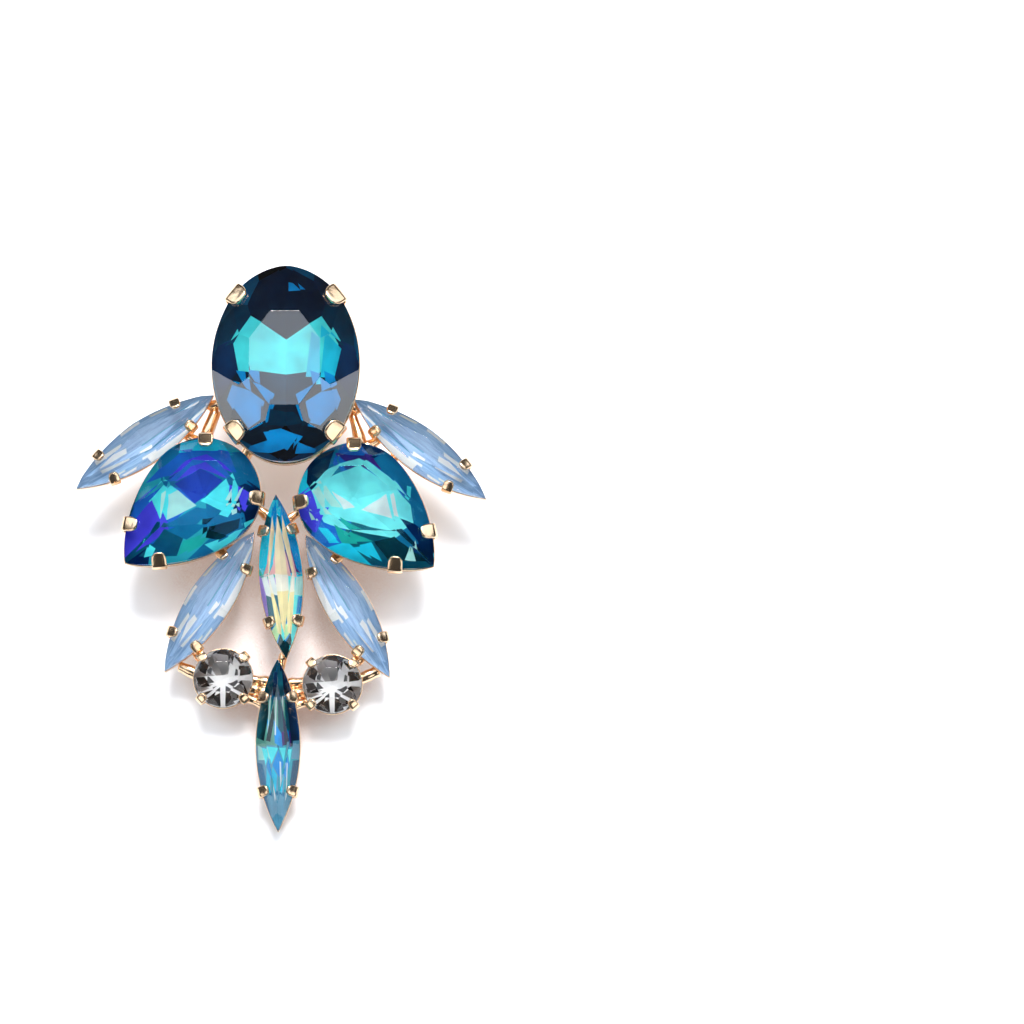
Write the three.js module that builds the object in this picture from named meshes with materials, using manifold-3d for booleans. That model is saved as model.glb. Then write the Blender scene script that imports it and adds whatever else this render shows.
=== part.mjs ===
// A statement drop earring: eleven foiled glass stones in one soldered, gold-plated frame of claw
// settings, with a clip behind the large oval stone. It lies face up on its clip pad and on the foot
// of its lowest setting, so its upper end stands a little higher than its tip.
//
// Units are millimetres. The earring is laid out in its own flat frame first: X to the wearer's
// left and right, Y from the tip up to the oval stone, Z from the flat back (0) towards the stones'
// tables. One outer group then tips that frame to its rest and centres it, with Z = 0 on the surface.
import * as THREE from "three";
import { mergeVertices } from "three/addons/utils/BufferGeometryUtils.js";
import Module from "manifold-3d";

const wasm = await Module();
wasm.setup();

// ---------------------------------------------------------------- driving dimensions
const REST_TILT = THREE.MathUtils.degToRad(8); // how far the lying earring is tipped up by its clip
const STONE_GAP = 0.15; // clearance between a stone and the metal round it
const CUP_WALL = 0.4; // sheet thickness of a setting's wall
const CUP_FLOOR = 0.35; // sheet thickness of a setting's flat back
const OVERCUT = 0.01; // how far a cup's hollow runs past its rim, so that it opens cleanly
const SOLDER_SIDES = 8;

const CLAW = {
  thick: 0.42,
  root: 0.9, // how far below its cup's rim a claw leaves the wall
  lean: 0.75, // rise of the folded end over the crown, per millimetre inwards
  shoulder: 0.12, // height over the girdle at which a claw starts to fold
  bevel: 0.25, // width of the fold's outer corner
  tuck: 0.1, // how far below the girdle's top edge the folded end reaches, before it is cut clear
};

const CLIP = {
  gap: 0.15, // between the clip's foot and the oval setting's back
  thick: 0.8,
  width: 5,
  footFrom: 13.2, // the foot's two ends, along the earring's Y
  footTo: 16.4,
  padY: 10.8, // the pad's middle, along the earring's Y
  padRadius: 5,
  padSides: 40,
  bendSteps: 18,
};

// ---------------------------------------------------------------- stone cuts
const OVAL_LENGTH = 18.1;
const OVAL_WIDTH = 13.3;
const OVAL_ASPECT = OVAL_LENGTH / OVAL_WIDTH;

// How a pear's outline is drawn. rear is the share of its length behind its origin; the rest runs to
// the point. The sides leave the origin straight, for shoulder of that rest, and come into the point
// at lean from its axis, for pull of that rest. An outline grown by 1 has its point grown by tipGrowth.
const PEAR = { rear: 0.345, shoulder: 0.4, pull: 0.28, lean: THREE.MathUtils.degToRad(58), tipGrowth: 1.3 };

// steps is how many straight sides each curve of the outline gets. table and culet are the heights of
// the flat top and of the lowest possible point, and girdle is the depth of the upright edge, all
// from that edge's top. A claw is width wide and folds in over the stone by reach. backInset is how
// much narrower all round a setting's flat back is than its stone.
//
// A facet row cuts the same plane at each of its azimuths (degrees from +X towards +Y). axis is the
// height at which the plane crosses the stone's own axis and rim its height over the outline, so a
// crown row falls outwards and a pavilion row rises outwards.
const CUTS = {
  oval: {
    outline: "oval",
    steps: 12,
    length: OVAL_LENGTH,
    width: OVAL_WIDTH,
    table: 2.4,
    girdle: 0.85,
    culet: -3.9,
    crown: [
      { azimuths: ringOf(8, 0, OVAL_ASPECT), axis: 4.6, rim: 0 },
      { azimuths: ringOf(8, 22.5, OVAL_ASPECT), axis: 6, rim: -0.33 },
    ],
    pavilion: [
      { azimuths: [50, 130, 230, 310], axis: -4, rim: -0.55 },
      { azimuths: [90, 270], axis: -4.8, rim: 0.1 },
      { azimuths: [0, 180], axis: -8.2, rim: -0.3 },
      { azimuths: [45, 135, 225, 315], axis: -5.8, rim: -0.1 },
    ],
    claws: { azimuths: [54, 126, 234, 306], width: 2, reach: 0.75 },
    backInset: 2.5,
  },
  pear: {
    outline: "pear",
    steps: 5,
    length: 14.5,
    width: 10.2,
    table: 1.6,
    girdle: 0.6,
    culet: -3,
    crown: [
      { azimuths: [270, 225, 315, 180, 0, 142, 38], axis: 3.3, rim: 0 },
      { azimuths: [248, 292, 202, 338, 161, 19, 122, 58], axis: 4.6, rim: -0.25 },
    ],
    pavilion: [
      { azimuths: [300, 240, 0, 180, 48, 132], axis: -3.1, rim: -0.45 },
      { azimuths: [270, 330, 210, 22, 158, 66, 114], axis: -4.3, rim: -0.25 },
    ],
    claws: { azimuths: [71, 107, 317, 221], width: 1.35, reach: 0.7 },
    backInset: 1.9,
  },
  marquise: {
    outline: "marquise",
    steps: 5,
    length: 15,
    width: 3.9,
    table: 0.95,
    girdle: 0.4,
    culet: -1.6,
    crown: [
      { azimuths: [11, 169, 191, 349], axis: 1.85, rim: -0.05 },
      { azimuths: [60, 120, 240, 300], axis: 4.6, rim: -0.1 },
    ],
    pavilion: [
      { azimuths: [8, 172, 188, 352], axis: -1.65, rim: -0.3 },
      { azimuths: [24, 156, 204, 336], axis: -2.3, rim: -0.2 },
    ],
    claws: { azimuths: [72, 108, 252, 288], width: 1, reach: 0.5 },
    backInset: 1.1,
  },
  round: {
    outline: "oval",
    steps: 8,
    length: 5.3,
    width: 5.3,
    table: 0.85,
    girdle: 0.3,
    culet: -1.9,
    crown: [
      { azimuths: ringOf(8, 0), axis: 1.75, rim: 0 },
      { azimuths: ringOf(8, 22.5), axis: 2.7, rim: -0.14 },
    ],
    pavilion: [
      { azimuths: ringOf(8, 0), axis: -1.9, rim: -0.28 },
      { azimuths: ringOf(8, 22.5), axis: -2.7, rim: -0.16 },
    ],
    claws: { azimuths: [45, 135, 225, 315], width: 0.85, reach: 0.4 },
    backInset: 0.9,
  },
};

CUTS.long = { ...CUTS.marquise, length: 15.6 };

// Where each stone sits: x, y of its own origin, turn of its +Y (a pear's point, a marquise's end)
// anticlockwise in degrees, and girdle, the height of its girdle's top edge over the flat back.
const STONES = [
  { name: "oval_stone", cut: "oval", x: 0.35, y: 11.5, turn: 0, girdle: 4.5, color: 0x0b3f5c },
  { name: "pear_stone_left", cut: "pear", x: -6.9, y: -0.2, turn: 132, girdle: 3.6, color: 0x1f4fc0 },
  { name: "pear_stone_right", cut: "pear", x: 6.55, y: -0.65, turn: -131, girdle: 3.6, color: 0x1fb4c4 },
  { name: "wing_stone_left", cut: "marquise", x: -12.4, y: 4.75, turn: -55, girdle: 2.2, color: 0x7f9fd0 },
  { name: "wing_stone_right", cut: "marquise", x: 12.5, y: 4.1, turn: 52.5, girdle: 2.2, color: 0x7f9fd0 },
  { name: "leaf_stone_left", cut: "marquise", x: -6.4, y: -9.9, turn: -32, girdle: 2.2, color: 0x7f9fd0 },
  { name: "leaf_stone_right", cut: "marquise", x: 6.0, y: -10.3, turn: 30.5, girdle: 2.2, color: 0x7f9fd0 },
  { name: "centre_stone", cut: "marquise", x: 0, y: -7.6, turn: 4, girdle: 2.2, color: 0xd8c58a },
  { name: "drop_stone", cut: "long", x: -0.15, y: -22.94, turn: 0.5, girdle: 2.2, color: 0x2a6f98 },
  { name: "round_stone_left", cut: "round", x: -5.1, y: -16.95, turn: 0, girdle: 2.5, color: 0xd8d8d4 },
  { name: "round_stone_right", cut: "round", x: 4.7, y: -17.5, turn: 0, girdle: 2.5, color: 0xd8d8d4 },
];

const OVAL = STONES[0];

// Solder joints: short bars of solder from one setting into the next, low between their walls.
const SOLDER = [
  { from: [-2.2, 5.6], to: [-4.2, 2.2], height: 1.1, radius: 0.6 }, // oval to left pear
  { from: [2.8, 5.6], to: [4.3, 2.2], height: 1.1, radius: 0.6 }, // oval to right pear
  { from: [-3.6, 9.2], to: [-8.2, 7.7], height: 0.9, radius: 0.55 }, // oval to left wing
  { from: [4.2, 9], to: [8.4, 7.3], height: 0.9, radius: 0.55 }, // oval to right wing
  { from: [-8.3, 2], to: [-11.4, 5.2], height: 0.9, radius: 0.5 }, // left pear to wing
  { from: [8.3, 2], to: [11.5, 4.6], height: 0.9, radius: 0.5 }, // right pear to wing
  { from: [-5.2, -1.6], to: [-4.6, -6.4], height: 0.9, radius: 0.5 }, // left pear to leaf
  { from: [5.2, -1.6], to: [4.2, -6.8], height: 0.9, radius: 0.5 }, // right pear to leaf
  { from: [-4, 0.4], to: [-0.4, -2.6], height: 0.9, radius: 0.5 }, // left pear to centre
  { from: [4, 0.4], to: [0, -2.6], height: 0.9, radius: 0.5 }, // right pear to centre
  { from: [-8.6, -13.4], to: [-5.6, -16.4], height: 0.9, radius: 0.5 }, // left leaf to round
  { from: [8.1, -13.8], to: [5.2, -17], height: 0.9, radius: 0.5 }, // right leaf to round
  { from: [-4.6, -17], to: [-0.3, -18.4], height: 1, radius: 0.5 }, // left round to drop
  { from: [4.2, -17.6], to: [0.1, -18.4], height: 1, radius: 0.5 }, // right round to drop
  { from: [0.4, -12.6], to: [-0.1, -17.4], height: 0.8, radius: 0.45 }, // centre to drop
];

const GOLD = { color: 0xe2bd86, metalness: 1, roughness: 0.22 };

// ---------------------------------------------------------------- helpers
/** count azimuths in degrees, the first at start, spread as an ellipse of that aspect sees them. */
function ringOf(count, start, aspect = 1) {
  return Array.from({ length: count }, (_, i) => {
    const angle = THREE.MathUtils.degToRad(start + (360 * i) / count);
    return THREE.MathUtils.radToDeg(Math.atan2(Math.sin(angle), aspect * Math.cos(angle)));
  });
}

/** A stone's outline, anticlockwise, grown outwards by grow. */
function outlinePoints(cut, grow = 0) {
  const halfLength = cut.length / 2 + grow;
  const halfWidth = cut.width / 2 + grow;
  const shape = new THREE.Shape();
  if (cut.outline === "oval") {
    shape.absellipse(0, 0, halfWidth, halfLength, 0, 2 * Math.PI, false);
  } else if (cut.outline === "marquise") {
    const radius = (halfLength ** 2 + halfWidth ** 2) / (2 * halfWidth);
    const swing = Math.asin(halfLength / radius);
    shape.absarc(halfWidth - radius, 0, radius, -swing, swing, false);
    shape.absarc(radius - halfWidth, 0, radius, Math.PI - swing, Math.PI + swing, false);
  } else {
    // A pear: half an ellipse at the back, then two sides that swing in to the point.
    const rear = cut.length * PEAR.rear + grow;
    const point = cut.length * (1 - PEAR.rear) + grow * PEAR.tipGrowth;
    const shoulder = point * PEAR.shoulder;
    const nearX = point * PEAR.pull * Math.sin(PEAR.lean);
    const nearY = point * (1 - PEAR.pull * Math.cos(PEAR.lean));
    shape.absellipse(0, 0, halfWidth, rear, Math.PI, 2 * Math.PI, false);
    shape.bezierCurveTo(halfWidth, shoulder, nearX, nearY, 0, point);
    shape.bezierCurveTo(-nearX, nearY, -halfWidth, shoulder, -halfWidth, 0);
  }
  // Where two curves meet, both give the same point: keep one.
  const points = shape.getPoints(cut.steps);
  return points.filter((p, i) => p.distanceTo(points[(i + 1) % points.length]) > 1e-6);
}

/** A closed body through rings of points at their heights, from the lowest to the highest. */
function loft(rings) {
  const corners = [];
  const face = (...points) => points.forEach((p) => corners.push(p.x, p.y, p.z));
  const lifted = rings.map(({ points, z }) => points.map((p) => new THREE.Vector3(p.x, p.y, z)));
  const count = lifted[0].length;
  for (let r = 1; r < lifted.length; r++) {
    for (let i = 0; i < count; i++) {
      const j = (i + 1) % count;
      face(lifted[r - 1][i], lifted[r - 1][j], lifted[r][j]);
      face(lifted[r - 1][i], lifted[r][j], lifted[r][i]);
    }
  }
  const middle = (ring) => ring.reduce((sum, p) => sum.add(p), new THREE.Vector3()).divideScalar(count);
  const [bottom, top] = [lifted[0], lifted.at(-1)];
  for (let i = 0; i < count; i++) {
    const j = (i + 1) % count;
    face(middle(bottom), bottom[j], bottom[i]);
    face(middle(top), top[i], top[j]);
  }
  return new THREE.BufferGeometry().setAttribute("position", new THREE.Float32BufferAttribute(corners, 3));
}

/** A three.js geometry as a manifold-3d solid, moved by matrix first. */
function solidOf(geometry, matrix = new THREE.Matrix4()) {
  const bare = geometry.clone().applyMatrix4(matrix);
  bare.deleteAttribute("normal");
  bare.deleteAttribute("uv");
  const merged = mergeVertices(bare, 1e-4);
  return new wasm.Manifold(
    new wasm.Mesh({
      numProp: 3,
      vertProperties: new Float32Array(merged.attributes.position.array),
      triVerts: new Uint32Array(merged.index.array),
    }),
  );
}

/** A manifold-3d solid as a three.js geometry. */
function geometryOf(solid) {
  const mesh = solid.getMesh();
  return new THREE.BufferGeometry()
    .setAttribute("position", new THREE.BufferAttribute(mesh.vertProperties, 3))
    .setIndex(new THREE.BufferAttribute(mesh.triVerts, 1));
}

function joined(solids) {
  return solids.reduce((sum, solid) => sum.add(solid));
}

/** Where a stone's own frame lies in the earring's, with the stone's origin at its girdle's top. */
function placeOf(stone) {
  const turn = THREE.MathUtils.degToRad(stone.turn);
  return new THREE.Matrix4().makeRotationZ(turn).setPosition(stone.x, stone.y, stone.girdle);
}

// ---------------------------------------------------------------- stones
/** The facets of a cut as planes through a prism of its outline, all grown outwards by grow. */
function stoneSolid(cut, grow = 0) {
  const outline = outlinePoints(cut);
  const edge = outlinePoints(cut, grow);
  let solid = solidOf(
    loft([
      { points: edge, z: cut.culet - grow },
      { points: edge, z: cut.table + grow },
    ]),
  );
  // A crown plane keeps what is below it, a pavilion plane what is above it.
  const facets = [
    ...cut.crown.map((row) => ({ ...row, side: -1 })),
    ...cut.pavilion.map((row) => ({ ...row, side: 1 })),
  ];
  for (const { azimuths, axis, rim, side } of facets) {
    for (const azimuth of azimuths) {
      const angle = THREE.MathUtils.degToRad(azimuth);
      const [ux, uy] = [Math.cos(angle), Math.sin(angle)];
      const support = Math.max(...outline.map((p) => p.x * ux + p.y * uy));
      const slope = (rim - axis) / support;
      const length = Math.hypot(slope, 1);
      const normal = [-side * slope * ux, -side * slope * uy, side].map((n) => n / length);
      solid = solid.trimByPlane(normal, (side * axis) / length - grow);
    }
  }
  return solid;
}

// ---------------------------------------------------------------- settings
/** The point of an outline at an azimuth from its origin, with the outward normal there. */
function stationOn(outline, azimuth) {
  const angle = THREE.MathUtils.degToRad(azimuth);
  const ray = new THREE.Vector2(Math.cos(angle), Math.sin(angle));
  for (let i = 0; i < outline.length; i++) {
    const a = outline[i];
    const side = outline[(i + 1) % outline.length].clone().sub(a);
    const turn = ray.cross(side);
    const along = a.cross(ray) / turn;
    const reach = a.cross(side) / turn;
    if (turn > 0 && reach > 0 && along >= 0 && along < 1) {
      return { point: ray.multiplyScalar(reach), normal: new THREE.Vector2(side.y, -side.x).normalize() };
    }
  }
  throw new Error("no point of the outline at azimuth " + azimuth);
}

/** The outside of a cup, which narrows from its rim, under the stone's girdle, to its flat back. */
function cupSolid(stone, cut) {
  return solidOf(
    loft([
      { points: outlinePoints(cut, -cut.backInset), z: -stone.girdle },
      { points: outlinePoints(cut), z: -cut.girdle },
    ]),
  );
}

/** The room inside a cup, over its flat back. */
function roomSolid(stone, cut) {
  return solidOf(
    loft([
      { points: outlinePoints(cut, -cut.backInset - CUP_WALL), z: -stone.girdle + CUP_FLOOR },
      { points: outlinePoints(cut, -CUP_WALL), z: -cut.girdle + OVERCUT },
    ]),
  );
}

/** A claw: a strip that leaves the cup's wall, clears the girdle and folds over on to the crown. */
function clawSolid(stone, cut, azimuth) {
  const { point, normal } = stationOn(outlinePoints(cut), azimuth);
  const { width, reach } = cut.claws;
  const out = STONE_GAP + CLAW.thick;
  const taper = cut.backInset / (stone.girdle - cut.girdle);
  const side = new THREE.Shape([
    new THREE.Vector2(-taper * CLAW.root - CUP_WALL / 2, -cut.girdle - CLAW.root),
    new THREE.Vector2(out, -cut.girdle),
    new THREE.Vector2(out, CLAW.shoulder),
    new THREE.Vector2(out - CLAW.bevel, CLAW.thick),
    new THREE.Vector2(-reach, CLAW.thick + CLAW.lean * reach),
    new THREE.Vector2(-reach, -CLAW.tuck),
    new THREE.Vector2(-CUP_WALL / 2, -cut.girdle),
  ]);
  const strip = new THREE.ExtrudeGeometry(side, { depth: width, bevelEnabled: false });
  strip.translate(0, 0, -width / 2);
  const across = new THREE.Vector3(normal.y, -normal.x, 0);
  const place = new THREE.Matrix4()
    .makeBasis(new THREE.Vector3(normal.x, normal.y, 0), new THREE.Vector3(0, 0, 1), across)
    .setPosition(point.x, point.y, 0);
  return solidOf(strip, place);
}

/** One bar of solder, whose middle runs level from one point to another. */
function solderSolid({ from, to, height, radius }) {
  const start = new THREE.Vector3(...from, height);
  const end = new THREE.Vector3(...to, height);
  const bar = new THREE.CylinderGeometry(radius, radius, start.distanceTo(end), SOLDER_SIDES);
  const turn = new THREE.Quaternion().setFromUnitVectors(
    new THREE.Vector3(0, 1, 0),
    end.clone().sub(start).normalize(),
  );
  const place = new THREE.Matrix4().compose(start.lerp(end, 0.5), turn, new THREE.Vector3(1, 1, 1));
  return solidOf(bar, place);
}

/** All eleven cups, their claws and the solder between them, hollowed and cut clear of every stone. */
function frameSolid() {
  const metal = SOLDER.map(solderSolid);
  const hollows = [];
  for (const stone of STONES) {
    const cut = CUTS[stone.cut];
    const place = placeOf(stone).toArray();
    metal.push(cupSolid(stone, cut).transform(place));
    metal.push(...cut.claws.azimuths.map((azimuth) => clawSolid(stone, cut, azimuth).transform(place)));
    hollows.push(roomSolid(stone, cut).transform(place));
    hollows.push(stoneSolid(cut, STONE_GAP).transform(place));
  }
  const bodies = joined(metal).subtract(joined(hollows)).decompose();
  return bodies.sort((a, b) => b.volume() - a.volume())[0];
}

// ---------------------------------------------------------------- clip
/** The clip, one bent strip: a foot on the oval setting's back, a round bend and a flat round pad. */
function clipSolid(floorY) {
  const half = CLIP.thick / 2;
  const slope = Math.tan(REST_TILT);
  const footZ = -CLIP.gap - half;
  const liftedLine = half / Math.cos(REST_TILT); // the pad's middle over the surface, square to the back
  // The bend's radius, so that it ends on the pad's own line.
  const [sin, cos] = [Math.sin(REST_TILT), Math.cos(REST_TILT)];
  const radius = (slope * (CLIP.footTo - floorY) + footZ - liftedLine) / (1 + cos + slope * sin);
  const line = [new THREE.Vector2(CLIP.footFrom, footZ)];
  const bend = new THREE.EllipseCurve(
    CLIP.footTo,
    footZ - radius,
    radius,
    radius,
    Math.PI / 2,
    -Math.PI / 2 - REST_TILT,
    true,
  );
  line.push(...bend.getPoints(CLIP.bendSteps));
  line.push(new THREE.Vector2(CLIP.padY, -(CLIP.padY - floorY) * slope + liftedLine));
  const normals = line.map((p, i) => {
    const along = line[Math.min(i + 1, line.length - 1)].clone().sub(line[Math.max(i - 1, 0)]);
    if (i === 1) along.set(1, 0);
    if (i === line.length - 2) along.set(-cos, sin);
    return new THREE.Vector2(-along.y, along.x).normalize().multiplyScalar(half);
  });
  const outline = new THREE.Shape([
    ...line.map((p, i) => p.clone().add(normals[i])),
    ...line.map((p, i) => p.clone().sub(normals[i])).reverse(),
  ]);
  const strip = new THREE.ExtrudeGeometry(outline, { depth: CLIP.width, bevelEnabled: false });
  strip.translate(0, 0, -CLIP.width / 2);
  const toEarring = new THREE.Matrix4().makeBasis(
    new THREE.Vector3(0, 1, 0),
    new THREE.Vector3(0, 0, 1),
    new THREE.Vector3(1, 0, 0),
  );
  toEarring.setPosition(OVAL.x, 0, 0);
  const pad = new THREE.CylinderGeometry(CLIP.padRadius, CLIP.padRadius, CLIP.thick, CLIP.padSides);
  pad.rotateX(Math.PI / 2 - REST_TILT);
  pad.translate(OVAL.x, line.at(-1).x, line.at(-1).y);
  return solidOf(strip, toEarring).add(solidOf(pad));
}

// ---------------------------------------------------------------- the earring
const flat = new THREE.Group();
for (const stone of STONES) {
  const mesh = new THREE.Mesh(
    geometryOf(stoneSolid(CUTS[stone.cut])),
    new THREE.MeshStandardMaterial({ color: stone.color, metalness: 0.2, roughness: 0.05 }),
  );
  mesh.name = stone.name;
  mesh.applyMatrix4(placeOf(stone));
  flat.add(mesh);
}

const frame = new THREE.Mesh(geometryOf(frameSolid()), new THREE.MeshStandardMaterial(GOLD));
frame.name = "setting_frame";
flat.add(frame);

// The foot that the tip rests on is the lowest end of the drop setting's flat back.
const drop = STONES.find((stone) => stone.name === "drop_stone");
const backEnd = outlinePoints(CUTS[drop.cut], -CUTS[drop.cut].backInset);
const footReach = Math.max(...backEnd.map((p) => p.y));
const clip = new THREE.Mesh(geometryOf(clipSolid(drop.y - footReach)), new THREE.MeshStandardMaterial(GOLD));
clip.name = "ear_clip";
flat.add(clip);

// Tip the earring on to its clip pad, and put the origin under the middle of its box.
flat.rotation.x = REST_TILT;
const earring = new THREE.Group();
earring.add(flat);
earring.updateMatrixWorld(true);
const box = new THREE.Box3().setFromObject(earring, true);
flat.position.set(-(box.min.x + box.max.x) / 2, -(box.min.y + box.max.y) / 2, -box.min.z);

export default earring;
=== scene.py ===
"""A claw-set drop earring of foiled glass stones, lying face up on a white surface.

The earring's own flat frame is the one in which it is laid out: millimetres, X to the right, Y from
the tip up to the oval stone, Z from the flat backs of its settings (0) towards the stones' tables.
Stones and settings are made in their own frames within it, and each mesh is moved to its rest on the
surface as it is written.
"""
import math
import bmesh
import bpy
from mathutils import Matrix, Vector


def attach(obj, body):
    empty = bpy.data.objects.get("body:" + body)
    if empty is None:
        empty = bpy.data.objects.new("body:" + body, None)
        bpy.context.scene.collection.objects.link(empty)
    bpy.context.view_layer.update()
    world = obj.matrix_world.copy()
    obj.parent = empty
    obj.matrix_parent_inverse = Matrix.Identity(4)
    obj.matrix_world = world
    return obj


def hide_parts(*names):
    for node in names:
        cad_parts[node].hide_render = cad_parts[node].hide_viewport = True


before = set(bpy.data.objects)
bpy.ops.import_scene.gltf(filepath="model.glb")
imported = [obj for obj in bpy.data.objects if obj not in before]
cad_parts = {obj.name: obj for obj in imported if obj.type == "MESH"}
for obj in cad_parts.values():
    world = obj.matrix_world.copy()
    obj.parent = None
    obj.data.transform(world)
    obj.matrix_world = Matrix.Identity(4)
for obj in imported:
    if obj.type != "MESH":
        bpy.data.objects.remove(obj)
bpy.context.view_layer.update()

# -------- sizes, in millimetres
MM = 0.001  # metres in a millimetre
OVAL_LENGTH = 18.1
OVAL_WIDTH = 13.3
OVAL_ASPECT = OVAL_LENGTH / OVAL_WIDTH

# A pear's outline: half an ellipse at its rear, and a curve down each side to its point.
PEAR = dict(
    rear=0.345,  # the ellipse's share of the length
    shoulder=0.4,  # the curve's control arms at its two ends, as shares of the pointed part
    pull=0.28,
    lean=58,  # degrees between the pear's length and each side at the point
    tip_growth=1.3,  # how much faster the point moves than the sides as the outline grows
)

CUP_WALL = 0.35
CUP_RISE = 0.1  # how far a cup's rim stands over the lower edge of its stone's girdle

# A cup's section, up its outside and down its inside. A point stands out from the stone's outline by
# out, less its share of the back's inset. It lies its share of the depth, and rise, over the back.
CUP_SECTION = [
    dict(inset=1, out=-0.12, depth=0, rise=0),
    dict(inset=1, out=0, depth=0, rise=0.12),
    dict(inset=0.45, out=0, depth=0.16, rise=0),
    dict(inset=0.15, out=0, depth=0.35, rise=0),
    dict(inset=0.03, out=0, depth=0.6, rise=0),
    dict(inset=0, out=0.01, depth=1, rise=-0.3),
    dict(inset=0, out=0.09, depth=1, rise=-0.16),
    dict(inset=0, out=0.07, depth=1, rise=-0.04),
    dict(inset=0, out=0.01, depth=1, rise=0),
    dict(inset=0, out=0.01, depth=1, rise=-0.06),
    dict(inset=0, out=-0.04, depth=1, rise=-0.35),
    dict(inset=0.45, out=-CUP_WALL, depth=0.55, rise=0),
    dict(inset=1, out=-CUP_WALL, depth=0, rise=0.35),
]

CLAW = dict(
    gap=0.06,  # between a stone and the claw that folds over it
    thick=0.36,
    root=1.0,  # how far below the girdle it leaves the cup's wall
    tuck=0.1,  # how far it is drawn in under the girdle
    bulge=0.08,  # how far it bows out over the girdle
    waist=0.4,  # where it bows out, as a share of the girdle's depth
    bend=0.02,  # how far out it starts to fold over
    shoulder=0.72,  # where it does, as a share of its height over the outline
    fold=0.15,  # where it has folded and where it lies along the crown, as shares of its reach
    lie=0.6,
    knuckle=0.05,  # how far its fold stands up from the crown
    tip_width=0.3,  # its tip's width and thickness, as shares of its own
    tip_thick=0.55,
    nose=0.35,  # the length over which it thins to its tip
    side_power=0.3,  # powers of its section's cosine and sine: 1 is an ellipse, 0 a box
    face_power=0.6,
    sides=16,
)

BAR = dict(
    sides=16,
    steps=20,
    swell=0.14,  # how much its radius swells along it, as a share of itself, and how fast
    swell_rate=4,
    ripple=0.07,  # the same again, finer
    ripple_rate=9,
    end_power=8,  # how late it starts to round off
    end_area=0.02,  # the share of its section left at its very ends
)

CUT_SNAP = 2e-4  # how near a facet's plane a corner counts as on it
PATCH_SNAP = 1e-3  # the same for a patch's sides
WELD = 1e-4  # how near each other two corners become one
PLAN_UV = 0.1  # what a millimetre is in the plan's UV coordinates

GLASS, FOILED = 0, 1  # which of a stone's two materials a facet has
WHITE = (1, 1, 1)
BARE = (*WHITE, 0)  # the foil attribute where there is no foil

# Foil colours, with how the foil looks through the glass: 1 satin, like enamel, down to 0, a mirror.
# They are partly the stones' own colours and partly painted reflection and painted shade: the light
# tints (pool, frost, milk, cream, silver) paint bright reflections and highlights, the dark ones
# (navy, ink, slate, deep, soot, pewter) paint shade and dark reflections.
FOIL_AND_PAINTED_LIGHT = {
    "turquoise": (0.10, 0.96, 0.98, 1.0),
    "pool": (0.22, 0.99, 1.0, 1.0),
    "aqua": (0.02, 0.70, 0.95, 1.0),
    "azure": (0.005, 0.35, 0.84, 1.0),
    "cobalt": (0.02, 0.17, 0.70, 0.9),
    "violet": (0.09, 0.08, 0.93, 1.0),
    "lilac": (0.45, 0.30, 0.83, 1.0),
    "mint": (0.50, 0.93, 0.85, 1.0),
    "frost": (0.84, 0.93, 0.91, 1.0),
    "jade": (0.02, 0.52, 0.45, 0.9),
    "moss": (0.16, 0.46, 0.36, 0.9),
    "steel": (0.14, 0.42, 0.60, 0.95),
    "peach": (0.98, 0.84, 0.52, 1.0),
    "cream": (0.97, 0.95, 0.80, 1.0),
    "amber": (0.97, 0.86, 0.44, 1.0),
    "rose": (0.90, 0.49, 0.49, 1.0),
    "lime": (0.59, 0.94, 0.49, 1.0),
    "opal": (0.42, 0.63, 0.88, 1.0),
    "milk": (0.98, 0.98, 0.95, 0.84),
    "indigo": (0.02, 0.06, 0.52, 0.9),
    "ocean": (0.01, 0.20, 0.42, 0.9),
    "lagoon": (0.03, 0.47, 0.58, 1.0),
    "tide": (0.004, 0.13, 0.27, 0.9),
    "navy": (0.004, 0.04, 0.13, 0.3),
    "ink": (0.002, 0.006, 0.016, 0.12),
    "slate": (0.012, 0.05, 0.10, 0.3),
    "deep": (0.002, 0.07, 0.15, 0.4),
    "plum": (0.10, 0.04, 0.30, 0.35),
    "teal": (0.01, 0.17, 0.26, 0.35),
    "pine": (0.005, 0.09, 0.12, 0.25),
    "silver": (0.97, 0.97, 0.96, 0.92),
    "pewter": (0.42, 0.40, 0.39, 0.3),
    "soot": (0.085, 0.075, 0.07, 0.25),
}


def ring_of(count, start, aspect=1.0):
    """The azimuths, in degrees, that an ellipse of that aspect faces at count even steps from start."""
    turns = [math.radians(start + 360 * i / count) for i in range(count)]
    return [math.degrees(math.atan2(math.sin(t), aspect * math.cos(t))) for t in turns]


# -------- stone cuts
# Azimuths, in degrees from +X towards +Y, of a pear's facets.
PEAR_MAIN = [270, 225, 315, 180, 0, 142, 38]
PEAR_STAR = [248, 292, 202, 338, 161, 19, 122, 58]
PEAR_GIRDLE = [259, 281, 236, 304, 213, 327, 190, 350, 171, 9, 151, 29, 133, 47, 114, 66]

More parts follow.
